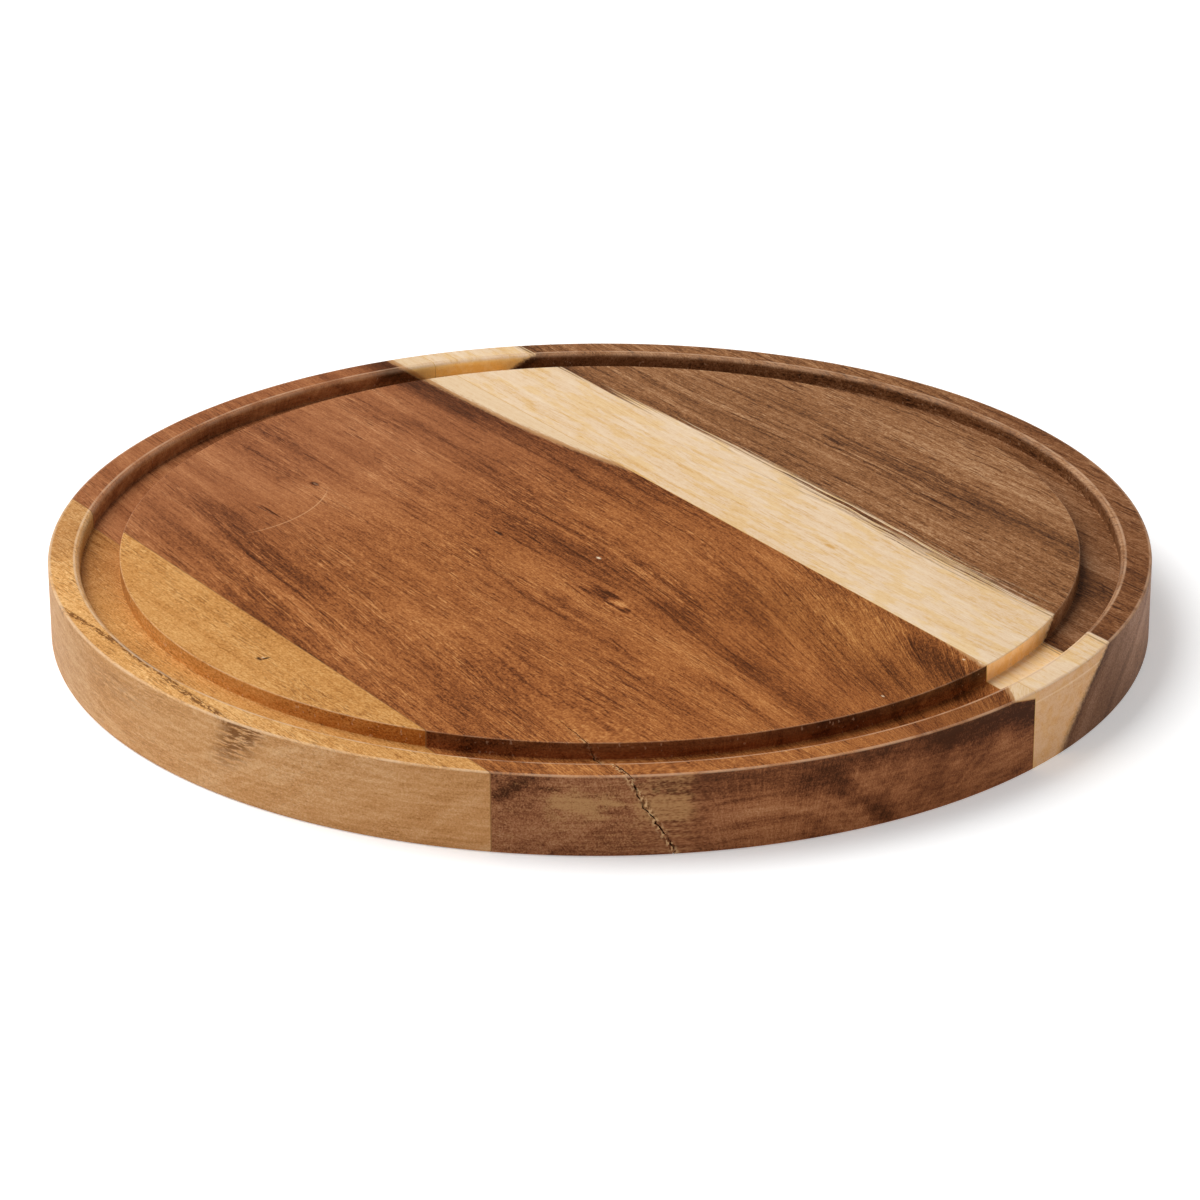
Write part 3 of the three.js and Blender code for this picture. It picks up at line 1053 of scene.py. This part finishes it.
REAR_STREAKS = (
    (-90, 92, 0, 97, 5, -0.13),
    (-30, 95, 105, 98, 6, -0.21),
    (-50, 86, 70, 92, 4, -0.07),
    (-66, 76, -22, 76.2, 0.8, -0.18),
    (-80, 100, -25, 100.5, 1, -0.14),
    (-60, 84, 80, 82, 3.5, 0.07),
    (-60, 114, 60, 112, 7, 0.06),
    (20, 73, 108, 74.5, 2, -0.1),
)
SAP_LINES = (
    (-50, 67.2, -26, 66.6, 0.35, 0.4),
    (-28, 62.1, 22, 65.2, 0.25, 0.4),
    (-8, 64, 50, 67.4, 0.3, 0.5),
    (-8, 67.2, 62, 66.4, 0.35, 0.55),
    (14, 65.2, 96, 66.8, 0.3, 0.6),
    (28, 64.4, 60, 65, 0.25, 0.4),
    (40, 64.8, 88, 64.9, 0.35, 0.6),
    (60, 67.3, 94, 67.8, 0.3, 0.5),
    (70, 66.2, 114, 66.2, 0.25, 0.4),
    (38, 71, 90, 71.5, 0.3, -0.45),
    (64, 70, 106, 70.6, 0.3, -0.4),
    (84, 72.6, 108, 73.2, 0.25, -0.35),
)
CREAM_SHADE = (-60, 37.5, 60, 36.5, 2.5, -0.22)
CREAM_PIP = (41, 48.5, 22, 2.4, 0.6, 3, -0.7)
TURNED_LINE = 18.9  # height of a fine turned line round the side


def striped_wood():
    """Rear stave: cream sapwood along the joint, grey-brown heartwood behind it."""
    wood = Wood("Striped Wood", (0, 129, -58), ring_scale=0.2, side_grain=0.7)
    w = wood.w
    wave = w.swing(w.stretch(wood.point, 0.1, 0.06, 0.06), detail=1)
    ripple = w.mul(w.mul(wave, 0.3), w.ease(wood.side, 78, 92))
    rise = w.mul(w.mul(wood.along, -0.03), w.ease(wood.side, 74, 95))
    wood.grow(w.add(ripple, rise))
    tone = wood.tone(
        0.55, bands=0.14, fibre=0.1, fray=0.11, fine=0.19, flecks=0.14, hairs=-0.25, cloud=0.06, grit=0.1
    )
    tone = wood.streaks(tone, REAR_STREAKS)
    below = w.sub(TOP, wood.up)
    line = w.ease(wood.along, -125, -15, 62.6, 69)
    edge = w.add(line, w.math("MULTIPLY_ADD", w.mul(below, 0.0188), below, w.mul(below, -1.47)))
    sap = w.sub(edge, wood.side)
    brush = w.swing(w.stretch(wood.bent, 0.006, 1.1, 1.1), detail=2, roughness=0.6)
    ragged = w.mul(brush, w.mul(wood.long_grain, w.ease(wood.along, -60, 30, 1.3, 2)))
    sap = w.add(sap, w.add(w.mul(wood.grain["Fray"], 0.5), ragged))
    tone = w.add(tone, w.ease(sap, -7.5, -1, 0, -0.18))
    heart = w.ramp(tone, *shades("umber"))
    pale = wood.tone(
        0.56, bands=0.08, fibre=0.14, fray=0.14, fine=0.14, pores=-0.25, hairs=-0.14, grit=0.06
    )
    pale = wood.tone_on(wood.outer_side(), pale, layers=0.14, grit=0.12)
    pale = w.add(w.add(pale, wood.streak(*CREAM_SHADE)), wood.patch(*CREAM_PIP))
    cream = w.ramp(pale, *shades("cream"))
    yellow = w.ease(w.noise(w.stretch(wood.bent, 0.08, 0.3, 0.3), detail=3, roughness=0.65), 0.44, 0.6)
    cream = w.dye(1, cream, w.mix(yellow, (1.03, 1.04, 1.09), (1.01, 0.95, 0.8)))
    soft = w.ease(below, 0, 16, 1.4, 2.6)
    clear = w.ease(w.math("DIVIDE", sap, soft), -1, 1)
    lines = wood.streaks(0, SAP_LINES)
    clear = w.sub(clear, w.mul(lines, w.ease(wood.grain["Fine"], -0.6, 0.5, 0.4, 1)))
    clear = w.least(w.most(clear, 0), 1)
    # The heart's outer side: a darker tone with a painted sheen, which turns paler and much bluer towards
    # the far end.
    side_tone_and_sheen = w.mix(w.ease(wood.side, 72, 98), (0.67, 0.73, 0.98), (1.15, 1.38, 2.05))
    heart = wood.pored(wood.side_tint_and_sheen(heart, side_tone_and_sheen), 0.65)
    dark_rim = w.mul(wood.rim_top(), w.ease(wood.along, -40, 0))
    heart = w.dye(dark_rim, heart, (0.74, 0.66, 0.62))
    cream = wood.side_tint_and_sheen(cream, (0.8, 0.64, 0.52))
    turned = w.mul(wood.outer_side(), w.ease(w.abs(w.sub(wood.up, TURNED_LINE)), 0.4, 0.1))
    cream = w.mix(w.mul(turned, 0.35), cream, settings().colours.cream_pale)
    tint = w.mix(clear, heart, cream)
    # Painted light and shade in the groove: a lighter inner wall, and an outer wall and floor darker in the
    # heartwood and lighter in the sapwood.
    near_wall_shading = w.mix(clear, (1.1, 1.15, 1.25), (1.2, 1.08, 0.85))
    far_wall_shading = w.mix(clear, (0.62, 0.57, 0.55), (1.2, 1.05, 0.6))
    floor = w.mix(clear, (0.76, 0.73, 0.74), (1.06, 1.04, 0.96))
    return wood.finish(tint, near_wall_shading, far_wall_shading, floor)


def cured_glue():
    """Amber cured glue with a little mottle."""
    colours = settings().colours
    wood = Wood("Cured Glue", (0, 0, -60))
    w = wood.w
    mottle = w.noise(w.stretch(wood.point, 0.3, 0.8, 0.8))
    light = tuple(1.6 * part for part in colours.glue)
    amber = w.mix(mottle, colours.glue, light)
    pale = w.mix(w.ease(wood.side, -60, 0), amber, colours.cream_dark)
    w.feed(wood.shader.inputs["Base Color"], pale)
    wood.shader.inputs["Roughness"].default_value = 0.55
    wood.shader.inputs["Specular IOR Level"].default_value = 0.1
    return wood.material


# Operators


class BOARD_OT_front_stave(bpy.types.Operator):
    """Turn the narrow honey-coloured stave at the front"""

    bl_idname = "serving_board.front_stave"
    bl_label = "Turn Front Stave"

    def execute(self, context):
        piece = turn_slice("front_stave_wood", -BEYOND, FRONT_GLUE[0].y, honey_wood())
        for nick in FRONT_NICKS:
            carve(piece, nick_cutter(*nick))
        hand_over(piece, "front_stave")
        return {"FINISHED"}


class BOARD_OT_middle_stave(bpy.types.Operator):
    """Turn the wide red-brown stave in the middle and open its crack"""

    bl_idname = "serving_board.middle_stave"
    bl_label = "Turn Middle Stave"

    def execute(self, context):
        piece = turn_slice("middle_stave_wood", FRONT_GLUE[1].y, REAR_GLUE[0].y, brown_wood())
        carve(piece, crack_cutter(settings().sizes.crack_width))
        for nick in MIDDLE_NICKS:
            carve(piece, nick_cutter(*nick))
        hand_over(piece, "middle_stave")
        return {"FINISHED"}


class BOARD_OT_rear_stave(bpy.types.Operator):
    """Turn the cream and grey-brown stave at the rear"""

    bl_idname = "serving_board.rear_stave"
    bl_label = "Turn Rear Stave"

    def execute(self, context):
        piece = turn_slice("rear_stave_wood", REAR_GLUE[1].y, BEYOND, striped_wood())
        hand_over(piece, "rear_stave")
        return {"FINISHED"}


class BOARD_OT_glue_lines(bpy.types.Operator):
    """Fill both joints with cured glue"""

    bl_idname = "serving_board.glue_lines"
    bl_label = "Fill Glue Lines"

    def execute(self, context):
        material = cured_glue()
        for node, (low, high) in (("front_glue_line", FRONT_GLUE), ("rear_glue_line", REAR_GLUE)):
            piece = turn_slice(node + "_film", low.y, high.y, material)
            hand_over(piece, node)
        return {"FINISHED"}


class BOARD_OT_stage(bpy.types.Operator):
    """Set the floor, the light and the camera"""

    bl_idname = "serving_board.stage"
    bl_label = "Set Stage"

    def execute(self, context):
        scene = context.scene
        stage = settings().stage
        lay_floor(stage.floor_lift)
        light_world(scene, stage.world_level)
        hang_lamps(stage)
        place_camera(scene, stage)
        scene.view_settings.view_transform = "Standard"
        return {"FINISHED"}


# Stage


def lay_floor(lift):
    """A white floor that takes the board's shadow, lifted to a clean white for the eye and for mirrors."""
    half = 30
    mesh = bpy.data.meshes.new("floor")
    corners = [(-half, -half, 0), (half, -half, 0), (half, half, 0), (-half, half, 0)]
    mesh.from_pydata(corners, [], [(0, 1, 2, 3)])
    floor = new_object("floor", mesh)
    material = bpy.data.materials.new("White Floor")
    material.use_nodes = True
    shader = material.node_tree.nodes["Principled BSDF"]
    shader.inputs["Base Color"].default_value = (0.96, 0.96, 0.96, 1)
    shader.inputs["Roughness"].default_value = 0.9
    shader.inputs["Specular IOR Level"].default_value = 0
    w = Wiring(material.node_tree)
    ray = w.node("ShaderNodeLightPath").outputs
    seen = w.most(w.most(ray["Is Camera Ray"], ray["Is Glossy Ray"]), ray["Is Transmission Ray"])
    shader.inputs["Emission Color"].default_value = (1, 1, 1, 1)
    w.feed(shader.inputs["Emission Strength"], w.mul(seen, lift))
    mesh.materials.append(material)


def light_world(scene, level):
    """Even white light from all round."""
    world = bpy.data.worlds.new("Light Tent")
    scene.world = world
    world.use_nodes = True
    background = world.node_tree.nodes["Background"]
    background.inputs["Color"].default_value = (1, 1, 1, 1)
    background.inputs["Strength"].default_value = level


def camera_side(stage):
    """Level directions from the board to the camera and to the camera's left."""
    near = Vector((math.sin(stage.azimuth), -math.cos(stage.azimuth), 0))
    return near, Vector((near.y, -near.x, 0))


def hang_lamp(name, spot, width, height, power):
    """A flat lamp that looks at the middle of the board."""
    lamp = bpy.data.lights.new(name, "AREA")
    lamp.shape = "RECTANGLE"
    lamp.size = width
    lamp.size_y = height
    lamp.energy = power
    holder = new_object(name, lamp)
    holder.location = spot
    holder.rotation_euler = (-spot).to_track_quat("-Z", "Y").to_euler()


def hang_lamps(stage):
    """A large softbox high to the left and a little behind, and a low card in front that fills the side."""
    near, left = camera_side(stage)
    up = Vector((0, 0, 1))
    hang_lamp("Softbox", left * 1.3 - near * 0.55 + up * 2, 2.2, 2.2, stage.key_power)
    hang_lamp("Fill Card", near * 1.5 - left + up * 0.22, 2.4, 0.4, stage.fill_power)


def place_camera(scene, stage):
    lens = bpy.data.cameras.new("Camera")
    lens.sensor_width = 36
    lens.lens = stage.lens
    lens.clip_end = 100
    camera = new_object("Camera", lens)
    near = camera_side(stage)[0]
    back = near * math.cos(stage.elevation) + Vector((0, 0, math.sin(stage.elevation)))
    camera.location = Vector((0, 0, settings().sizes.thickness)) + back * stage.distance
    aim = Vector((0, 0, stage.aim_height))
    turn = (aim - camera.location).to_track_quat("-Z", "Y") @ Quaternion((0, 0, 1), stage.roll)
    camera.rotation_euler = turn.to_euler()
    scene.camera = camera


class BOARD_PT_panel(bpy.types.Panel):
    """Lists the settings and the steps."""

    bl_idname = "BOARD_PT_panel"
    bl_label = "Serving Board"
    bl_space_type = "VIEW_3D"
    bl_region_type = "UI"
    bl_category = "Board"

    def draw(self, context):
        for group in (settings().sizes, settings().colours, settings().stage):
            box = self.layout.box()
            for name in group.bl_rna.properties.keys():
                if name not in ("rna_type", "name"):
                    box.prop(group, name)
        for operator in OPERATORS:
            self.layout.operator(operator.bl_idname)


OPERATORS = (
    BOARD_OT_front_stave,
    BOARD_OT_middle_stave,
    BOARD_OT_rear_stave,
    BOARD_OT_glue_lines,
    BOARD_OT_stage,
)
CLASSES = (BoardSizes, BoardColours, BoardStage, BoardSettings, *OPERATORS, BOARD_PT_panel)


def register():
    for cls in CLASSES:
        bpy.utils.register_class(cls)
    bpy.types.Scene.serving_board = bpy.props.PointerProperty(type=BoardSettings)


def unregister():
    del bpy.types.Scene.serving_board
    for cls in reversed(CLASSES):
        bpy.utils.unregister_class(cls)


def main():
    register()
    bpy.ops.serving_board.front_stave()
    bpy.ops.serving_board.middle_stave()
    bpy.ops.serving_board.rear_stave()
    bpy.ops.serving_board.glue_lines()
    bpy.ops.serving_board.stage()


if __name__ == "__main__":
    main()
